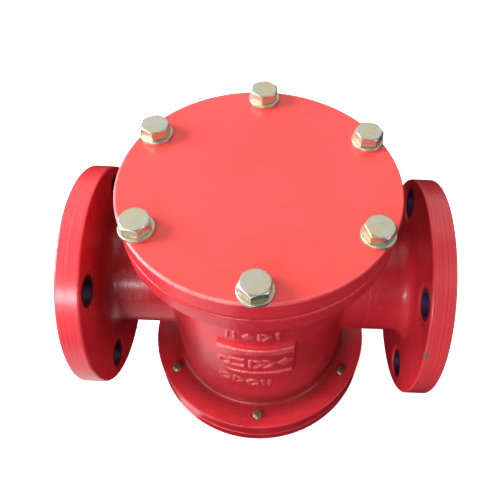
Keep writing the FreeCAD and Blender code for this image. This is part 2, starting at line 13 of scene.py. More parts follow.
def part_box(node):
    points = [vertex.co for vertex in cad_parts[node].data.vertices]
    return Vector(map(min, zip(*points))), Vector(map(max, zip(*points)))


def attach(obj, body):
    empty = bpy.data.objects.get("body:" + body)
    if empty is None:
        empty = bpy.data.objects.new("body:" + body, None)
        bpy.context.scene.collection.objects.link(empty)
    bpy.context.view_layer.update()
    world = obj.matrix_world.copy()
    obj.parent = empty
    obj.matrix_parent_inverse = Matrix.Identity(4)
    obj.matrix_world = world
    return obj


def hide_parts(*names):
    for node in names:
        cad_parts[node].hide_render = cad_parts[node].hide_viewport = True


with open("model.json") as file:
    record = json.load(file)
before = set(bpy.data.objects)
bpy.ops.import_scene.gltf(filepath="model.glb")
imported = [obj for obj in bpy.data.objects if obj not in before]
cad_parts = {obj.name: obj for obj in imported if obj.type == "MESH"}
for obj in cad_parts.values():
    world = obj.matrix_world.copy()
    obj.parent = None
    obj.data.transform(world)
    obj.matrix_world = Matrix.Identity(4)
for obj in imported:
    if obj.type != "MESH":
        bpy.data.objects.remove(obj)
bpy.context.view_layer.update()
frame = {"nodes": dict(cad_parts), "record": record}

MM = 0.001

# Heads and threads of the two kinds of bolt, which the boxes of the CAD nodes don't give
COVER_BOLT_FLATS = 19 * MM
COVER_BOLT_PITCH = 1.75 * MM
COVER_BOLT_RADIUS = 6 * MM
COVER_BOLT_TURNS = [25, 27, 50, 18, 52, 57]    # direction of a corner of each head, in degrees
BOTTOM_BOLT_FLATS = 13 * MM
BOTTOM_BOLT_PITCH = 1.25 * MM
BOTTOM_BOLT_RADIUS = 4 * MM
BOTTOM_BOLT_HEAD = 5.3 * MM
BOTTOM_BOLT_TURNS = [12, 44, 3, 31, 20, 52]
WASHER_RADIUS = 12 * MM
WASHER_BORE = 6.5 * MM
CROWN_RADIUS = 0.485             # of the flats: the flat round top of a head
CROWN_SLOPE = math.tan(math.radians(30))
WASHER_FACE_RADIUS = 0.47        # of the flats: the round face under a head
WASHER_FACE_HEIGHT = 0.35 * MM
HEAD_EDGE = 0.14 * MM
CORNER_SHARPNESS = 60            # the higher, the sharper the corners of a hexagon
THREAD_DEPTH = 0.61              # of the pitch
THREAD_RINGS = 8                 # rings of points in each turn of a thread
SEAT_GAP = 0.02 * MM             # keeps a head clear of the washer it sits on
ROUND_STEPS = 72                 # points round a bolt or washer

# The casting
BORE_RADIUS = 32.5 * MM
POT_RADIUS = 79 * MM
POT_BORE = 71.5 * MM
PAD_RADIUS = 81 * MM
PAD_MIDDLE = 125.5 * MM          # height of the middle of the raised pad
RAISED_FACE = 2 * MM
PIPE_FLANGE_BACK = 125 * MM      # from the middle of the pot
PIPE_FLANGE_RADIUS = 92.5 * MM
BOLT_SEAT_RADIUS = 12.5 * MM     # near-black ring round each pipe bolt hole
GROOVE_PITCH = 0.8 * MM          # of the fine grooves turned on the sealing faces

# Wear, dirt, painted highlights and painted shade
HIGHLIGHT_BAND = 2.2 * MM                   # how far in from a turned edge the painted highlight reaches
DUSTY_HIGHLIGHT_PLACE = (-104 * MM, -30 * MM, 150 * MM)    # middle of a speckled patch on the inlet pipe, partly dust and partly a painted highlight
DUSTY_HIGHLIGHT_RADIUS = 20 * MM
DENT = (126.5 * MM, -86.2 * MM, 159 * MM)    # middle of a bare dent on the outlet flange's edge
DENT_RADIUS = 3.5 * MM
SHADE_REACH = 82 * MM           # how far from the pipe's axis painted shade reaches behind the inlet flange

# The basket's screen
SCREEN_PITCH = 6 * MM
SCREEN_HOLE = 1.7 * MM           # radius
SCREEN_SHEET = 1.5 * MM
WINDOW_RADIUS = 32.5 * MM
WINDOW_GAP = 2 * MM              # how far the sheet's edge stands back from the window

cover_low, cover_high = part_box("top_cover")
body_low, body_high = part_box("body")
outlet_low, outlet_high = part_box("outlet_branch")
pipe_height = (outlet_low.z + outlet_high.z) / 2
cover_centre = Vector((0, 0, cover_high.z))
pipe_bolts = next(mount for mount in frame["record"]["mounts"] if mount["name"] == "outlet_bolts")
pipe_bolt_circle = pipe_bolts["dims"]["pcd_mm"] / 2 * MM
BOLT_HOLE_RADIUS = pipe_bolts["dims"]["hole_r_mm"] * MM


# ---------------------------------------------------------------- node materials


class Finish:
    """A Principled material whose nodes read the frame's own coordinates."""

    def __init__(self, name, **constants):
        self.material = bpy.data.materials.new(name)
        self.material.use_nodes = True
        self.tree = self.material.node_tree
        self.shader = self.tree.nodes["Principled BSDF"]
        for socket, value in constants.items():
            self.shader.inputs[socket.replace("_", " ")].default_value = value
        self.place = self.node("TexCoord").outputs["Object"]
        parts = self.node("SeparateXYZ", self.place)
        self.x, self.y, self.z = parts.outputs

    def node(self, kind, *values, **settings):
        """A node with its first inputs set or linked in order."""
        made = self.tree.nodes.new("ShaderNode" + kind)
        for name, value in settings.items():
            setattr(made, name, value)
        for socket, value in zip(made.inputs, values):
            self.feed(socket, value)
        return made

    def feed(self, socket, value):
        if isinstance(value, bpy.types.NodeSocket):
            self.tree.links.new(value, socket)
        elif value is not None:
            socket.default_value = value

    def math(self, operation, *values):
        return self.node("Math", *values, operation=operation).outputs[0]

    def distance(self, *parts):
        """The length of a vector in two or three directions, given as sockets."""
        joined = self.node("CombineXYZ", *parts).outputs[0]
        return self.node("VectorMath", joined, operation="LENGTH").outputs["Value"]

    def shifted(self, value, amount):
        return self.math("SUBTRACT", value, amount)

    def noise(self, scale, detail=3.0, roughness=0.55, place=None):
        made = self.node("TexNoise")
        self.feed(made.inputs["Vector"], place or self.place)
        made.inputs["Scale"].default_value = scale
        made.inputs["Detail"].default_value = detail
        made.inputs["Roughness"].default_value = roughness
        return made.outputs[0]

    def cells(self, scale, place=None):
        made = self.node("TexVoronoi")
        self.feed(made.inputs["Vector"], place or self.place)
        made.inputs["Scale"].default_value = scale
        return made.outputs["Distance"]

    def ramp(self, value, low, high, start=0.0, end=1.0):
        """value from low to high becomes start to end, smoothly, and stays there outside."""
        made = self.node("MapRange", value, low, high, start, end, interpolation_type="SMOOTHSTEP")
        return made.outputs[0]

    def both(self, *masks):
        found = masks[0]
        for mask in masks[1:]:
            found = self.math("MULTIPLY", found, mask)
        return found

    def either(self, *masks):
        found = masks[0]
        for mask in masks[1:]:
            found = self.math("MAXIMUM", found, mask)
        return found

    def inverse(self, mask):
        return self.math("SUBTRACT", 1.0, mask)

    def mix(self, mask, first, second):
        """Numbers mixed by a mask."""
        made = self.node("Mix", mask, data_type="FLOAT")
        self.feed(made.inputs[2], first)
        self.feed(made.inputs[3], second)
        return made.outputs[0]

    def tint(self, mask, first, second):
        """Colours mixed by a mask."""
        made = self.node("Mix", mask, data_type="RGBA")
        for socket, value in ((made.inputs[6], first), (made.inputs[7], second)):
            self.feed(socket, (*value, 1.0) if isinstance(value, tuple) else value)
        return made.outputs[2]

    def edges(self, radius):
        """1 on a sharp or tightly rounded edge, 0 on open faces."""
        rounded = self.node("Bevel", radius, samples=4).outputs[0]
        flat = self.node("NewGeometry").outputs["Normal"]
        same = self.node("VectorMath", rounded, flat, operation="DOT_PRODUCT").outputs["Value"]
        return self.ramp(same, 0.985, 0.86)

    def bump(self, *layers):
        """Bumps one over the other: (height, depth in metres) each, shallowest last."""
        normal = None
        for height, depth in layers:
            made = self.node("Bump")
            made.inputs["Distance"].default_value = depth
            self.feed(made.inputs["Height"], height)
            self.feed(made.inputs["Normal"], normal)
            normal = made.outputs[0]
        self.feed(self.shader.inputs["Normal"], normal)

    def finish(self, **sockets):
        for name, value in sockets.items():
            self.feed(self.shader.inputs[name.replace("_", " ")], value)
        return self.material


PAINT = (0.68, 0.028, 0.042)
PAINT_DEEP = (0.54, 0.016, 0.026)
PAINT_LIGHT = (0.82, 0.085, 0.10)
HIGHLIGHT_AND_WEAR_PAINT = (0.92, 0.27, 0.26)    # painted highlight along the turned edges; also the paler tint of raised marks, partly worn paint
# lighter paint in streaks on the turned flange rims: partly turning marks, partly a painted sheen
RIM_STREAK_SHEEN_PAINT = (0.86, 0.080, 0.090)
# the cover's top in paler paint than the body: painted light on the lit top
COVER_TOP_LIT_PAINT = (0.80, 0.056, 0.048)
COVER_TOP_LIT_PALE = (0.84, 0.072, 0.062)
OVERSPRAY = (0.52, 0.022, 0.030)
PRIMER = (0.20, 0.035, 0.028)
PRIMER_DEEP = (0.10, 0.02, 0.018)
BARE_IRON = (0.30, 0.29, 0.31)
DULL_IRON = (0.20, 0.17, 0.16)
DULL_COVER_IRON = (0.22, 0.18, 0.16)
DARK_IRON = (0.030, 0.016, 0.026)
BLUED_IRON = (0.10, 0.07, 0.18)
RUST = (0.22, 0.13, 0.10)
# painted shade for the hollows
PAINTED_SHADE = (0.20, 0.012, 0.010)
SEAT_BLACK = (0.030, 0.008, 0.013)
# pale grey-pink for the speckled patch: partly dust, partly a painted highlight
DUST_AND_HIGHLIGHT = (0.50, 0.20, 0.22)
FIBRE_DARK = (0.030, 0.012, 0.012)
FIBRE_LIGHT = (0.085, 0.030, 0.028)
BRIGHT_EDGE = (0.88, 0.86, 0.76)
STEEL = (0.62, 0.62, 0.60)
STEEL_STAIN = (0.46, 0.45, 0.42)


def pipe_hole_distance(finish, radius):
    """Distance to the nearest bolt hole's axis in the pipe flanges, across the pipe."""
    offset = radius * math.sqrt(0.5)
    across = finish.math("ABSOLUTE", finish.y)
    upward = finish.math("ABSOLUTE", finish.shifted(finish.z, pipe_height))
    return finish.distance(finish.shifted(across, offset), finish.shifted(upward, offset))


class CastingPlaces:
    """Masks for the places on the casting: 1 inside each and 0 outside."""

    def __init__(self, finish, cloud):
        upward = finish.shifted(finish.z, pipe_height)
        self.from_pipe = finish.distance(finish.y, upward)
        self.from_pot = finish.distance(finish.x, finish.y)
        self.outward = finish.math("ABSOLUTE", finish.x)
        self.machined(finish)
        self.worn_and_highlit(finish)
        self.shade_and_dust(finish, cloud)

    def machined(self, finish):
        """Bores, bolt holes with near-black rings round them, sealing faces and turned rims."""
        face = outlet_high.x - RAISED_FACE
        flange = finish.ramp(self.outward, PIPE_FLANGE_BACK - 0.5 * MM, PIPE_FLANGE_BACK)
        hole = pipe_hole_distance(finish, pipe_bolt_circle)
        in_hole = finish.ramp(hole, BOLT_HOLE_RADIUS + 0.4 * MM, BOLT_HOLE_RADIUS + 0.1 * MM)
        seat = finish.ramp(hole, BOLT_SEAT_RADIUS + 0.5 * MM, BOLT_SEAT_RADIUS - 0.3 * MM)
        rim = finish.ramp(self.from_pipe, PIPE_FLANGE_RADIUS - 1.5 * MM, PIPE_FLANGE_RADIUS - 0.5 * MM)
        in_bore = finish.ramp(self.from_pipe, BORE_RADIUS + 0.8 * MM, BORE_RADIUS + 0.3 * MM)
        in_pot = finish.ramp(self.from_pot, POT_BORE + 1.5 * MM, POT_BORE + 0.5 * MM)
        self.in_hole = finish.both(in_hole, flange)
        self.seat = finish.both(seat, flange)
        self.rim = finish.both(flange, rim)
        self.face = finish.ramp(self.outward, face + 0.3 * MM, face + RAISED_FACE - 0.2 * MM)
        self.bare = finish.either(self.face, self.in_hole)
        self.inside = finish.either(in_bore, in_pot)

    def worn_and_highlit(self, finish):
        """Edges, chips, a dent, and a painted highlight along the top edge that the cover is seated on."""
        self.edge = finish.edges(1.6 * MM)
        chips = finish.both(self.edge, finish.ramp(finish.noise(120, 5, 0.65), 0.655, 0.70))
        self.chips = finish.either(chips, near_place(finish, DENT, DENT_RADIUS, 0.6))
        # painted highlight along the body's top edge, strongest on the lit inlet side
        self.edge_highlight = finish.both(
            finish.ramp(self.from_pot, body_high.x - HIGHLIGHT_BAND, body_high.x - 0.5 * HIGHLIGHT_BAND),
            finish.ramp(finish.z, body_high.z - 2 * HIGHLIGHT_BAND, body_high.z - HIGHLIGHT_BAND),
            towards_lit_side(finish, 0.1),
        )

    def shade_and_dust(self, finish, cloud):
        """Painted shade in the hollows, and a speckled patch on the inlet pipe that is partly dust and
        partly a painted highlight.
        """
        behind = finish.both(
            finish.ramp(self.from_pipe, SHADE_REACH, 0.5 * SHADE_REACH),
            finish.ramp(finish.x, -POT_RADIUS, 10 * MM - PIPE_FLANGE_BACK),
        )
        foot = finish.both(
            finish.ramp(self.from_pot, 1.25 * POT_RADIUS, 1.04 * POT_RADIUS),
            finish.ramp(finish.z, 0.5 * pipe_height, 0.3 * pipe_height),
        )
        # painted shade behind the inlet flange and round the pot's foot
        self.shaded_hollow = finish.both(finish.either(behind, foot), finish.ramp(cloud, 0.25, 0.65, 0.3, 0.75))
        specks = finish.ramp(finish.noise(520, 5, 0.75), 0.44, 0.66)
        # speckled patch on the inlet pipe: partly dust, partly a painted highlight
        self.dusty_highlight = finish.both(near_place(finish, DUSTY_HIGHLIGHT_PLACE, DUSTY_HIGHLIGHT_RADIUS, 0.4), specks)


def near_place(finish, place, radius, core):
    """1 up to a part of the radius from a place, fading to 0 at the radius."""
    ways = (finish.x, finish.y, finish.z)
    away = finish.distance(*(finish.shifted(way, at) for way, at in zip(ways, place)))
    return finish.ramp(away, radius, core * radius)


def towards_lit_side(finish, least):
    """1 on the inlet side, where the light falls, falling to the least on the outlet side; it keeps the
    painted edge highlights on the lit side.
    """
    return finish.ramp(finish.x, 0.6 * cover_high.x, 0.6 * cover_low.x, least, 1.0)


def casting_colour(finish, places, cloud, mottle, pits, turned, wear):
    """Paint over primer and bare iron: paler on edges and rims, partly a painted highlight, and darker in
    the hollows with painted shade.
    """
    colour = finish.tint(finish.ramp(cloud, 0.35, 0.68), PAINT_DEEP, PAINT)
    colour = finish.tint(finish.ramp(mottle, 0.52, 0.85, 0.0, 0.35), colour, PAINT_LIGHT)
    # edges paler: partly paint worn thin, partly a painted highlight
    colour = finish.tint(finish.math("MULTIPLY", places.edge, 0.45), colour, PAINT_LIGHT)
    colour = finish.tint(finish.math("MULTIPLY", pits, 0.5), colour, PRIMER)
    # painted shade in the hollows
    colour = finish.tint(places.shaded_hollow, colour, PAINTED_SHADE)
    # speckled patch: partly dust, partly a painted highlight
    colour = finish.tint(finish.math("MULTIPLY", places.dusty_highlight, 0.55), colour, DUST_AND_HIGHLIGHT)

    # streaks on the rims: partly turning marks, partly a painted sheen
    streaks = finish.ramp(turned, 0.35, 0.65, 0.1, 0.9)
    colour = finish.tint(finish.both(places.rim, streaks), colour, RIM_STREAK_SHEEN_PAINT)
    # painted highlight along the body's top edge
    highlight_strength = finish.ramp(mottle, 0.3, 0.6, 0.4, 0.75)
    colour = finish.tint(finish.both(places.edge_highlight, highlight_strength), colour, HIGHLIGHT_AND_WEAR_PAINT)
    # raised marks paler: partly worn paint, partly a painted highlight
    if wear:
        colour = finish.tint(finish.ramp(mottle, 0.3, 0.6, 0.6 * wear, wear), colour, HIGHLIGHT_AND_WEAR_PAINT)
    colour = finish.tint(places.chips, colour, RUST)

    interior = finish.tint(finish.ramp(mottle, 0.35, 0.7), PRIMER, PRIMER_DEEP)
    colour = finish.tint(places.inside, colour, interior)
    # near-black ring round each pipe bolt hole
    colour = finish.tint(places.seat, colour, SEAT_BLACK)
    iron = finish.tint(finish.ramp(mottle, 0.4, 0.65), BARE_IRON, DULL_IRON)
    outlet_side = finish.ramp(finish.x, -PIPE_FLANGE_BACK, PIPE_FLANGE_BACK)
    iron = finish.tint(places.in_hole, iron, finish.tint(outlet_side, DARK_IRON, BLUED_IRON))
    return finish.tint(places.bare, colour, iron)


def painted_casting(name="painted_casting", wear=0.0):
    """Glossy enamel over cast iron, with bare bores, turned flange rims, chips, painted shade in the
    hollows and painted highlights on edges and rims.
    """
    finish = Finish(name, Specular_IOR_Level=0.3, Coat_Roughness=0.24, Coat_IOR=1.45)
    cloud = finish.noise(14, 4)
    mottle = finish.noise(90, 5, 0.6)
    skin = finish.noise(380, 4, 0.6)
    grain = finish.noise(1500, 2)
    pits = finish.both(
        finish.ramp(finish.cells(260), 0.16, 0.05),
        finish.ramp(finish.noise(60), 0.55, 0.66),
    )
    places = CastingPlaces(finish, cloud)
    turned = finish.noise(900, 3, 0.7, finish.node("CombineXYZ", places.outward, 0.0, 0.0).outputs[0])
    grooves = finish.math("SINE", finish.math("MULTIPLY", places.from_pipe, 2 * math.pi / GROOVE_PITCH))
    colour = casting_colour(finish, places, cloud, mottle, pits, turned, wear)

    roughness = finish.ramp(mottle, 0.3, 0.75, 0.34, 0.50)
    roughness = finish.mix(finish.either(places.inside, places.dusty_highlight), roughness, 0.75)
    roughness = finish.mix(places.bare, roughness, 0.42)
    roughness = finish.mix(places.chips, roughness, 0.8)
    roughness = finish.mix(places.rim, roughness, 0.30)
    dull = finish.either(places.bare, places.inside, places.dusty_highlight, places.chips, places.seat)
    finish.bump(
        (finish.both(skin, finish.inverse(finish.either(places.bare, places.rim))), 0.55 * MM),
        (finish.math("MULTIPLY", pits, -1.0), 0.3 * MM),
        (finish.both(turned, places.rim), 0.25 * MM),
        (finish.both(grooves, places.face), 0.12 * MM),
        (finish.math("MULTIPLY", places.chips, -1.0), 0.15 * MM),
        (grain, 0.02 * MM),
    )
    return finish.finish(
        Base_Color=colour,
        Roughness=roughness,
        Metallic=finish.math("MULTIPLY", places.bare, 0.85),
        Coat_Weight=finish.math("MULTIPLY", finish.inverse(dull), 0.6),
    )


def painted_cover():
    """The same enamel on a turned cover: smooth on top, with soft marks, a paler top that is painted light
    and pale edges that are a painted highlight.
    """
    finish = Finish("painted_cover", Specular_IOR_Level=0.25, Coat_Roughness=0.07, Coat_IOR=1.45)
    radius = finish.distance(finish.x, finish.y)
    top = finish.ramp(finish.z, cover_high.z - 0.6 * MM, cover_high.z - 0.1 * MM)
    under = finish.ramp(finish.z, cover_low.z + 0.3 * MM, cover_low.z + 0.1 * MM)
    cloud = finish.noise(9, 4)
    mottle = finish.noise(160, 5, 0.65)
    peel = finish.noise(700, 2)
    specks = finish.ramp(finish.cells(420), 0.12, 0.05)
    specks = finish.both(specks, finish.ramp(finish.noise(45), 0.60, 0.70))

    # painted highlight along the cover's top edge, strongest on the lit inlet side
    edge_highlight = finish.both(
        finish.ramp(radius, cover_high.x - HIGHLIGHT_BAND, cover_high.x - 0.6 * HIGHLIGHT_BAND),
        finish.ramp(finish.z, cover_high.z - HIGHLIGHT_BAND, cover_high.z - 0.7 * HIGHLIGHT_BAND),
        towards_lit_side(finish, 0.15),
        finish.ramp(mottle, 0.3, 0.6, 0.35, 0.85),
    )
    # the top in the paler lit paint and the sides in the body's paint: painted light
    colour = finish.tint(finish.ramp(cloud, 0.3, 0.7), COVER_TOP_LIT_PAINT, COVER_TOP_LIT_PALE)
    colour = finish.tint(finish.inverse(top), colour, PAINT)
    colour = finish.tint(finish.ramp(mottle, 0.5, 0.8, 0.0, 0.25), colour, PAINT_LIGHT)
    colour = finish.tint(edge_highlight, colour, HIGHLIGHT_AND_WEAR_PAINT)
    colour = finish.tint(finish.math("MULTIPLY", specks, 0.45), colour, PAINT_DEEP)
    iron = finish.tint(finish.ramp(mottle, 0.4, 0.65), BARE_IRON, DULL_COVER_IRON)
    colour = finish.tint(under, colour, iron)
    turned = finish.noise(1400, 2, 0.6, finish.node("CombineXYZ", radius, 0.0, 0.0).outputs[0])
    roughness = finish.ramp(finish.noise(30, 4), 0.3, 0.7, 0.30, 0.42)
    finish.bump(
        (finish.noise(38, 2), 0.5 * MM),
        (turned, 0.015 * MM),
        (finish.both(peel, finish.inverse(under)), 0.03 * MM),
        (specks, 0.04 * MM),
    )
    return finish.finish(
        Base_Color=colour,
        Roughness=finish.mix(under, roughness, 0.38),
        Metallic=finish.math("MULTIPLY", under, 0.85),
        Coat_Weight=finish.ramp(top, 0, 1, 0.12, 0.55),
    )


def gasket_fibre():
    """Compressed fibre with red overspray on its edge."""
    finish = Finish("gasket_fibre", IOR=1.45)
    weave = finish.noise(900, 4, 0.7)
    spray = finish.ramp(finish.noise(110, 4), 0.24, 0.36)
    fibre = finish.tint(weave, FIBRE_DARK, FIBRE_LIGHT)
    colour = finish.tint(spray, fibre, OVERSPRAY)
    finish.bump((weave, 0.12 * MM))
    return finish.finish(Base_Color=colour, Roughness=finish.ramp(spray, 0, 1, 0.9, 0.5))


def plated_steel(name, pale, yellow, green, stain, shine):
    """Passivated zinc: a pale metal with drifting yellow and green tints and dull stains."""
    finish = Finish(name, Specular_IOR_Level=0.5)
    drift = finish.noise(85, 3)
    elsewhere = finish.node("VectorMath", finish.place, (0.3, 0.1, 0.7)).outputs[0]
    veil = finish.noise(140, 4, 0.6, elsewhere)
    fine = finish.noise(1300, 3)
    blots = finish.ramp(finish.noise(260, 5, 0.7), 0.56, 0.72)
    edge = finish.edges(0.5 * MM)
    colour = finish.tint(finish.ramp(drift, 0.36, 0.62), pale, yellow)
    colour = finish.tint(finish.ramp(veil, 0.48, 0.70, 0.0, 0.8), colour, green)
    colour = finish.tint(finish.math("MULTIPLY", blots, 0.5), colour, stain)
    colour = finish.tint(finish.math("MULTIPLY", edge, 0.6), colour, BRIGHT_EDGE)
    roughness = finish.ramp(fine, 0.3, 0.7, shine, shine + 0.16)
    roughness = finish.mix(blots, roughness, shine + 0.3)
    metal = finish.ramp(blots, 0, 1, 0.88, 0.6)
    finish.bump((finish.noise(420, 4), 0.10 * MM), (fine, 0.02 * MM))
    return finish.finish(Base_Color=colour, Roughness=roughness, Metallic=metal)


def stainless_steel():
    """Satin sheet with fine drawn lines and water marks."""
    finish = Finish("stainless_steel", Metallic=0.85)
    stretched = finish.node("Mapping", finish.place)
    stretched.inputs["Scale"].default_value = (1.0, 1.0, 0.06)
    lines = finish.noise(2200, 3, 0.6, stretched.outputs[0])
    marks = finish.noise(55, 4, 0.6)
    colour = finish.tint(finish.ramp(marks, 0.4, 0.7), STEEL, STEEL_STAIN)
    roughness = finish.ramp(lines, 0.3, 0.7, 0.26, 0.42)
    finish.bump((lines, 0.02 * MM))
    return finish.finish(Base_Color=colour, Roughness=roughness)


# ---------------------------------------------------------------- shapes


def make_piece(name, points, faces, material, slot, body=None, replaced=(), sharp=35):
    """A smooth-shaded mesh object with crisp edges where faces meet at more than sharp degrees."""
    mesh = bpy.data.meshes.new(name)
    mesh.from_pydata(points, [], faces)
    mesh.validate()
    mesh.shade_smooth()
    mesh.set_sharp_from_angle(angle=math.radians(sharp))
    mesh.materials.append(material)
    piece = bpy.data.objects.new(name, mesh)
    bpy.context.scene.collection.objects.link(piece)
    if body:
        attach(piece, body)
    if replaced:
        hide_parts(*replaced)
    return piece


def polar_surface(axis, rings, steps, turn=0.0):
    """Points and faces of a closed shape about a vertical axis.

    Each ring is a function of the angle that gives radius and height. The first and last rings
    close on the axis at their own height.
    """
    points = []
    angles = [turn + 2 * math.pi * step / steps for step in range(steps)]
    for ring in rings:
        for angle in angles:
            radius, height = ring(angle)
            points.append((axis[0] + radius * math.cos(angle), axis[1] + radius * math.sin(angle), height))
    faces = []
    for level in range(len(rings) - 1):
        for step in range(steps):
            after = (step + 1) % steps
            near, far = level * steps, (level + 1) * steps
            faces.append((near + step, far + step, far + after, near + after))
    for level, order in ((0, 1), (len(rings) - 1, -1)):
        height = sum(point[2] for point in points[level * steps:(level + 1) * steps]) / steps
        centre = len(points)
        points.append((axis[0], axis[1], height))
        for step in range(steps):
            rim = (level * steps + step, level * steps + (step + 1) % steps)
            faces.append((centre, *rim[::order]))
    return points, faces


def hexagon_radius(angle, flats, turn):
    """Distance from the middle of a hexagon to its outline, with slightly rounded corners."""
    spread = 0.0
    for side in range(6):
        toward = math.cos(angle - turn - math.radians(30 + 60 * side))
        spread += max(0.0, toward) ** CORNER_SHARPNESS
    return flats / 2 / spread ** (1 / CORNER_SHARPNESS)


def hex_bolt(axis, tip, head_base, crown, flats, radius, pitch, turn):
    """A hex head with a chamfered crown and washer face, and a shank with a helical thread.

    tip, head_base and crown are heights; the head may be at either end.
    """
    turn = math.radians(turn)
    side = 1 if crown > tip else -1
    crown_radius = CROWN_RADIUS * flats
    washer_face = WASHER_FACE_RADIUS * flats
    skirt = head_base + side * WASHER_FACE_HEIGHT
    shank_end = head_base - side * 1.5 * pitch
    depth = THREAD_DEPTH * pitch

    def flat(radius, height):
        return lambda angle: (radius, height)

    def chamfer(inset, drop):
        def ring(angle):
            edge = hexagon_radius(angle, flats, turn)
            return edge - inset, crown - side * (max(0.0, edge - crown_radius) * CROWN_SLOPE + drop)
        return ring

    def prism(height):
        return lambda angle: (hexagon_radius(angle, flats, turn), height)

    def thread(height):
        def ring(angle):
            phase = (height / pitch - angle / (2 * math.pi)) % 1.0
            tooth = abs(2 * phase - 1)
            run_out = min(1.0, abs(height - shank_end) / pitch)
            point = max(0.0, 0.9 * depth - abs(height - tip))
            return radius - depth * (1 - tooth) * run_out - point, height
        return ring

    rings = [flat(part * crown_radius, crown) for part in (0.15, 0.6, 0.93)]
    rings += [
        flat(crown_radius, crown - side * 0.03 * MM),
        chamfer(HEAD_EDGE, 0.0),
        chamfer(0.0, HEAD_EDGE),
        prism(skirt + side * 0.1 * MM),
        prism(skirt),
        flat(washer_face, skirt),
        flat(washer_face, head_base),
        flat(radius + 0.4 * MM, head_base),
        flat(radius, head_base - side * 0.6 * MM),
        flat(radius, shank_end),
    ]
    count = int(abs(shank_end - tip) / pitch * THREAD_RINGS)
    for level in range(1, count + 1):
        rings.append(thread(shank_end + (tip - shank_end) * level / count))
    rings.append(flat(0.6 * (radius - depth), tip))
    points, faces = polar_surface(axis, rings, ROUND_STEPS, turn)
    return points, faces if side > 0 else [face[::-1] for face in faces]


def rounded(radius, height, size, start, end, step):
    """Points of an arc of the given size round (radius, height), with its angles in degrees."""
    return [
        (radius + size * math.cos(math.radians(angle)), height + size * math.sin(math.radians(angle)))
        for angle in range(start, end + 1, step)
    ]


def stamped_washer(axis, low, high, radius, bore):
    """A flat washer: rounded where the punch entered, and a crisp edge where it came out."""
    soft = 0.7 * MM
    crisp = 0.15 * MM
    outline = [(bore, low + crisp), (bore + crisp, low), (radius - crisp, low), (radius, low + crisp)]
    outline += rounded(radius - soft, high - soft, soft, 0, 90, 15)
    outline += rounded(bore + crisp, high - crisp, crisp, 90, 180, 30)
    return lathe(outline, ROUND_STEPS, axis)


def lathe(outline, steps, axis=(0.0, 0.0), closed=True):
    """Points and faces of an outline of (radius, height) turned about a vertical axis."""
    points = []
    for step in range(steps):
        angle = 2 * math.pi * step / steps
        for radius, height in outline:
            points.append((axis[0] + radius * math.cos(angle), axis[1] + radius * math.sin(angle), height))
    count = len(outline)
    faces = []
    for step in range(steps):
        near, far = step * count, (step + 1) % steps * count
        for place in range(count if closed else count - 1):
            after = (place + 1) % count
            faces.append((near + place, far + place, far + after, near + after))
    return points, faces


class PerforatedSheet:
    """A rolled sheet with staggered round holes and a round window towards -X.

    The sheet is unrolled into cells of one hole each. A cell's border has sixteen points, four to a
    side, shared with its neighbours; the hole's own ring of points joins on to them.
    """

    BORDER = ([(right, -2) for right in range(-2, 2)] + [(2, up) for up in range(-2, 2)]
              + [(right, 2) for right in range(2, -2, -1)] + [(-2, up) for up in range(2, -2, -1)])

    def __init__(self, radius, low, high, pitch, hole):
        self.radius = radius
        self.low = low
        self.hole = hole
        self.pitch = pitch
        self.window = WINDOW_RADIUS + WINDOW_GAP
        self.columns = round(2 * math.pi * radius / pitch)
        self.rows = round((high - low) / pitch)
        self.width = 2 * math.pi * radius / self.columns
        self.tall = (high - low) / self.rows
        self.points = []
        self.faces = []
        self.shared = {}
        for row in range(self.rows):
            for column in range(self.columns):
                self.cell(4 * column + 2 + 2 * (row % 2), 4 * row + 2, plain=row in (0, self.rows - 1))

    def place(self, quarter, level):
        """Where a quarter step along and a quarter step up are on the unrolled sheet."""
        return quarter % (4 * self.columns) * self.width / 4, self.low + level * self.tall / 4

    def off_window(self, along, height):
        """How far along and up a place is from the middle of the window."""
        return along - math.pi * self.radius, height - pipe_height

    def add(self, along, height):
        angle = along / self.radius
        self.points.append((self.radius * math.cos(angle), self.radius * math.sin(angle), height))
        return len(self.points) - 1

    def corner(self, quarter, level):
        """A shared border point, drawn on to the window's edge if it is close to it."""
        key = (quarter % (4 * self.columns), level)
        if key not in self.shared:
            along, height = self.place(*key)
            across, up = self.off_window(along, height)
            reach = math.hypot(across, up)
            if abs(reach - self.window) < self.pitch / 4 * 1.01 and reach > 0:
                along += across * (self.window / reach - 1)
                height += up * (self.window / reach - 1)
            self.shared[key] = self.add(along, height)
        return self.shared[key]

    def cell(self, middle, level, plain):
        """One cell: with a hole, or plain along the ends and round the window."""
        reach = math.hypot(*self.off_window(*self.place(middle, level)))
        if plain or reach < self.window + self.pitch:
            self.plain_cell(middle, level)
        else:
            self.holed_cell(middle, level)

    def plain_cell(self, middle, level):
        for right in range(-2, 2):
            for up in range(-2, 2):
                centre = self.place(middle + right + 0.5, level + up + 0.5)
                if math.hypot(*self.off_window(*centre)) > self.window:
                    square = ((0, 0), (1, 0), (1, 1), (0, 1))
                    self.faces.append([self.corner(middle + right + a, level + up + b) for a, b in square])

    def holed_cell(self, middle, level):
        along, height = middle * self.width / 4, self.low + level * self.tall / 4
        ring = []
        for right, up in self.BORDER:
            length = math.hypot(right, up)
            ring.append(self.add(along + self.hole * right / length, height + self.hole * up / length))
        edge = [self.corner(middle + right, level + up) for right, up in self.BORDER]
        for place in range(len(self.BORDER)):
            after = (place + 1) % len(self.BORDER)
            self.faces.append([edge[place], edge[after], ring[after], ring[place]])


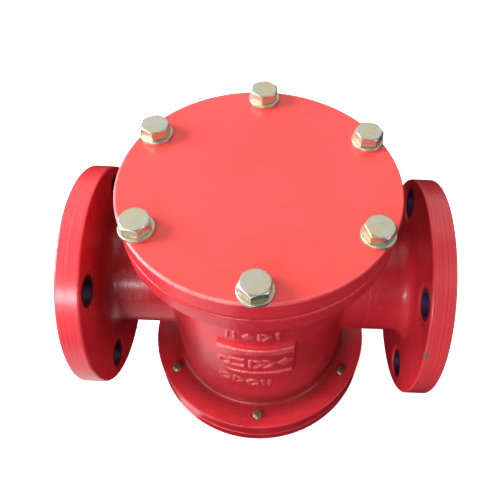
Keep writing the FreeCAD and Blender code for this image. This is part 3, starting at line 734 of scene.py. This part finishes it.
# Sheets of raised marks, in millimetres
MARK_PITCH = 0.4        # between points
MARK_MARGIN = 4         # of plain sheet round the marks
MARK_SINK = 0.12        # how deep the plain sheet lies in the pot
MARK_KEPT = -0.1        # a face of the sheet is left out if all of it lies deeper than this
MARK_SPREAD = 0.7       # how far inside its outline a mark reaches its full height
MARK_SLOPE = 1.7        # width of the soft edge
MARK_UNEVENNESS = 0.35
BAR_ROUNDING = 0.6

# Raised marks on the pot: (kind, along, up, half length, half height, turn in degrees), in millimetres
# from the middle of the pad. They stand in for cast lettering and spell nothing.
FLOW_PANEL = [
    ("bar", 0, 18.5, 29.5, 3.8, 0), ("bar", 3, -17.5, 26, 0.9, 0),
    ("ring", -25, -1, 4.6, 1.1, 0), ("bar", -15, 4.5, 5.5, 1.2, 0), ("bar", -15, -6, 5.5, 1.2, 0),
    ("bar", -4, -1, 5.6, 1.2, 90), ("chevron", 3, -1, 6.4, 1.3, 0), ("chevron", 11, -1, 6.4, 1.3, 0),
    ("diamond", 23.5, -1, 6.2, 6.2, 0),
]
UPPER_ROW = [
    ("bar", -21, 40, 4.2, 1.0, 84), ("bar", -15.5, 40, 4.6, 1.0, 90), ("diamond", -5.5, 40, 4.4, 4.4, 0),
    ("bar", 3, 39.5, 4.0, 1.0, 90), ("chevron", 8, 40, 4.6, 1.0, 0), ("bar", 17, 40, 4.2, 1.0, 96),
]
LOWER_ROW = [
    ("ring", -27, -37, 4.6, 1.2, 0), ("bar", -18.5, -38, 5.2, 1.2, 80), ("chevron", -13, -39, 5.0, 1.2, 0),
    ("ring", -2.5, -41, 4.4, 1.2, 0), ("bar", 6, -42, 4.6, 1.2, 96), ("bar", 11.5, -42, 4.4, 1.2, 90),
]


def mark_distance(mark, along, up):
    """Signed distance in millimetres from a place on the pad to a mark, negative inside it."""
    kind, middle, height, length, half, turn = mark
    cosine, sine = math.cos(math.radians(turn)), math.sin(math.radians(turn))
    across, upward = along - middle, up - height
    x, y = cosine * across + sine * upward, cosine * upward - sine * across
    if kind == "bar":
        return math.hypot(max(abs(x) - length, 0), max(abs(y) - half + BAR_ROUNDING, 0)) - BAR_ROUNDING
    if kind == "diamond":
        return (abs(x) + abs(y) - length) * math.sqrt(0.5)
    if kind == "ring":
        return abs(math.hypot(x, y) - length) - half
    if abs(y) < length:
        return abs(x + abs(y) - length / 2) * math.sqrt(0.5) - half
    return math.hypot(length, y)


def mark_reach(mark):
    """How far up and down a mark may reach from its own middle."""
    kind, _, _, length, half, turn = mark
    return max(half, length if turn or kind != "bar" else 0)


def mark_lift(marks, height, along, up):
    """How far the sheet of marks stands out of the pot at a place, in millimetres."""
    nearest = min(mark_distance(mark, along, up) for mark in marks)
    nearest += MARK_UNEVENNESS * noise.noise((along * 0.45, up * 0.45, height))
    rise = 1 - min(1.0, max(0.0, (nearest + MARK_SPREAD) / MARK_SLOPE))
    rise = rise * rise * (3 - 2 * rise)
    wear = 0.75 + 0.35 * noise.noise((along * 0.11, up * 0.13, 3.7))
    return height * rise * wear - MARK_SINK


def raised_marks(name, marks, base, height, material):
    """Marks cast on the pot as one soft-edged sheet, whose plain parts are left out."""
    left = min(mark[1] - mark[3] for mark in marks) - MARK_MARGIN
    right = max(mark[1] + mark[3] for mark in marks) + MARK_MARGIN
    low = min(mark[2] - mark_reach(mark) for mark in marks) - MARK_MARGIN
    high = max(mark[2] + mark_reach(mark) for mark in marks) + MARK_MARGIN
    across = int((right - left) / MARK_PITCH)
    upward = int((high - low) / MARK_PITCH)
    points, lifts = [], []
    for row in range(upward + 1):
        for column in range(across + 1):
            along, up = left + column * MARK_PITCH, low + row * MARK_PITCH
            lift = mark_lift(marks, height, along, up)
            lifts.append(lift)
            angle = -math.pi / 2 + along * MM / base
            radius = base + lift * MM
            points.append((radius * math.cos(angle), radius * math.sin(angle), PAD_MIDDLE + up * MM))
    faces = []
    for row in range(upward):
        for column in range(across):
            first = row * (across + 1) + column
            face = (first, first + 1, first + across + 2, first + across + 1)
            if max(lifts[corner] for corner in face) > MARK_KEPT:
                faces.append(face)
    used = sorted({corner for face in faces for corner in face})
    renumber = {old: new for new, old in enumerate(used)}
    return make_piece(
        name, [points[old] for old in used], [[renumber[corner] for corner in face] for face in faces],
        material, "painted_iron", "housing", sharp=80,
    )


# ---------------------------------------------------------------- the pieces


def dress_nodes(material, *names):
    """Gives CAD nodes a material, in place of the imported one."""
    for name in names:
        mesh = frame["nodes"][name].data
        mesh.materials.clear()
        mesh.materials.append(material)


def middle_of(node):
    low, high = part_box(node)
    return (low.x + high.x) / 2, (low.y + high.y) / 2


casting = painted_casting()
# paler casting for the raised marks: partly worn paint, partly a painted highlight
worn_highlit_casting = painted_casting("worn_highlit_casting", 0.28)
zinc = plated_steel(
    "zinc_plating",
    pale=(0.64, 0.63, 0.575), yellow=(0.67, 0.61, 0.40), green=(0.53, 0.60, 0.46), stain=(0.33, 0.29, 0.20),
    shine=0.30,
)
olive = plated_steel(
    "olive_plating",
    pale=(0.22, 0.19, 0.12), yellow=(0.27, 0.22, 0.11), green=(0.17, 0.17, 0.10), stain=(0.20, 0.035, 0.03),
    shine=0.42,
)
stainless = stainless_steel()

dress_nodes(casting, "body", "inlet_branch", "outlet_branch", "bottom_plate")
dress_nodes(painted_cover(), "top_cover")
dress_nodes(gasket_fibre(), "cover_gasket", "bottom_gasket", "basket_gasket")
dress_nodes(stainless, "basket_rim", "basket_floor", "basket_window_frame", "basket_lug_front",
            "basket_lug_back", "basket_handle")

for number, turn in enumerate(COVER_BOLT_TURNS, 1):
    bolt_node, washer_node = f"cover_bolt_{number}", f"cover_washer_{number}"
    bolt_low, bolt_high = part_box(bolt_node)
    washer_low, washer_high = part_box(washer_node)
    axis = middle_of(washer_node)
    make_piece(
        f"hex_bolt_{number}",
        *hex_bolt(axis, bolt_low.z, washer_high.z + SEAT_GAP, bolt_high.z,
                  COVER_BOLT_FLATS, COVER_BOLT_RADIUS, COVER_BOLT_PITCH, turn),
        zinc, "zinc_bolt", f"bolt_{number}", [bolt_node],
    )
    make_piece(
        f"flat_washer_{number}",
        *stamped_washer(axis, washer_low.z, washer_high.z, WASHER_RADIUS, WASHER_BORE),
        zinc, "zinc_bolt", f"washer_{number}", [washer_node],
    )

for number, turn in enumerate(BOTTOM_BOLT_TURNS, 1):
    node = f"bottom_bolt_{number}"
    bolt_low, bolt_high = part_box(node)
    make_piece(
        f"plate_bolt_{number}",
        *hex_bolt(middle_of(node), bolt_high.z, bolt_low.z + BOTTOM_BOLT_HEAD, bolt_low.z,
                  BOTTOM_BOLT_FLATS, BOTTOM_BOLT_RADIUS, BOTTOM_BOLT_PITCH, turn),
        olive, "plain_bolt", "housing", [node],
    )

screen_low, screen_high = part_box("basket_screen")
wall = PerforatedSheet(screen_high.x, screen_low.z, screen_high.z, SCREEN_PITCH, SCREEN_HOLE)
screen = make_piece(
    "perforated_screen", wall.points, wall.faces, stainless, "stainless", "basket", ["basket_screen"],
)
sheet = screen.modifiers.new("sheet", "SOLIDIFY")
sheet.thickness = SCREEN_SHEET
sheet.offset = -1

raised_marks("flow_panel", FLOW_PANEL, PAD_RADIUS, 1.9, worn_highlit_casting)
raised_marks("upper_marks", UPPER_ROW, POT_RADIUS, 1.7, worn_highlit_casting)
raised_marks("lower_marks", LOWER_ROW, POT_RADIUS, 1.7, worn_highlit_casting)


# ---------------------------------------------------------------- stage, lights and camera

FLOOR_RADIUS = 2.0    # the flat part
FLOOR_CURVE = 1.5
WALL_TOP = 4.0
CAMERA_OFFSET = Vector((0.01355, -0.26213, 0.26953))    # from the middle of the cover's top
CAMERA_FORWARD = Vector((0.01581, 0.57417, -0.81858))
CAMERA_ROLL = math.radians(3.63)
CAMERA_LENS = 38.5
CAMERA_SHIFT = (-0.0700, 0.0384)


def make_stage():
    """A pale floor that curves up all round."""
    floor = Finish("floor_white", Roughness=0.9, Emission_Strength=0.75)
    speckle = floor.noise(600, 2)
    colour = floor.tint(speckle, (0.86, 0.86, 0.86), (0.92, 0.92, 0.92))
    material = floor.finish(Base_Color=colour, Emission_Color=(1.0, 1.0, 1.0, 1.0))
    outline = [(0.001, 0.0), (FLOOR_RADIUS, 0.0)]
    outline += rounded(FLOOR_RADIUS, FLOOR_CURVE, FLOOR_CURVE, -84, 0, 6)
    outline.append((FLOOR_RADIUS + FLOOR_CURVE, WALL_TOP))
    points, faces = lathe(outline, 96, closed=False)
    stage = make_piece("floor", points, faces, material, None, sharp=180)
    stage.visible_diffuse = False
    stage.visible_glossy = False


def area_light(name, size, power, colour):
    data = bpy.data.lights.new(name, "AREA")
    data.shape = "RECTANGLE"
    data.size, data.size_y = size
    data.energy = power
    data.color = colour
    light = bpy.data.objects.new(name, data)
    bpy.context.scene.collection.objects.link(light)
    return light


def add_light(name, direction, distance, size, power, colour):
    """A soft square light that looks at the middle of the strainer."""
    target = Vector((0, 0, (body_low.z + body_high.z) / 2))
    light = area_light(name, size, power, colour)
    light.location = target + Vector(direction).normalized() * distance
    light.rotation_euler = (target - light.location).to_track_quat("-Z", "Y").to_euler()


def add_card(name, place, size, power, colour):
    """A glowing sheet that lies on the floor, in place of the light that white paper throws up."""
    card = area_light(name, size, power, colour)
    card.location = place
    card.rotation_euler = (math.pi, 0.0, 0.0)
    card.visible_camera = False


def set_world():
    world = bpy.data.worlds.new("studio")
    world.use_nodes = True
    background = world.node_tree.nodes["Background"]
    background.inputs["Color"].default_value = (0.93, 0.95, 1.0, 1.0)
    background.inputs["Strength"].default_value = 0.22
    world.cycles_visibility.glossy = False
    bpy.context.scene.world = world


def set_camera():
    data = bpy.data.cameras.new("camera")
    data.lens = CAMERA_LENS
    data.shift_x, data.shift_y = CAMERA_SHIFT
    camera = bpy.data.objects.new("camera", data)
    turned = CAMERA_FORWARD.to_track_quat("-Z", "Y").to_matrix() @ Matrix.Rotation(CAMERA_ROLL, 3, "Z")
    camera.matrix_world = Matrix.Translation(cover_centre + CAMERA_OFFSET) @ turned.to_4x4()
    bpy.context.scene.collection.objects.link(camera)
    bpy.context.scene.camera = camera


make_stage()
add_light("window", (-0.93, 0.05, 0.50), 1.4, (0.8, 0.7), 35, (1.0, 0.97, 0.97))
add_light("ceiling", (0.0, 0.67, 0.74), 1.6, (2.4, 1.9), 11.5, (1.0, 1.0, 1.0))
add_light("front", (-0.40, -0.95, 0.58), 1.6, (0.7, 0.22), 13, (0.94, 0.94, 1.0))
add_light("corner", (-0.90, -0.42, 0.35), 1.6, (0.9, 0.9), 7, (0.95, 0.95, 1.0))
add_light("side", (0.75, -0.30, 0.75), 1.6, (0.8, 0.8), 5.5, (1.0, 0.90, 0.87))
add_card("card", (-0.17, -0.25, 0.004), (0.22, 0.36), 0.22, (1.0, 0.96, 0.98))
set_world()
set_camera()
bpy.context.scene.view_settings.view_transform = "Standard"
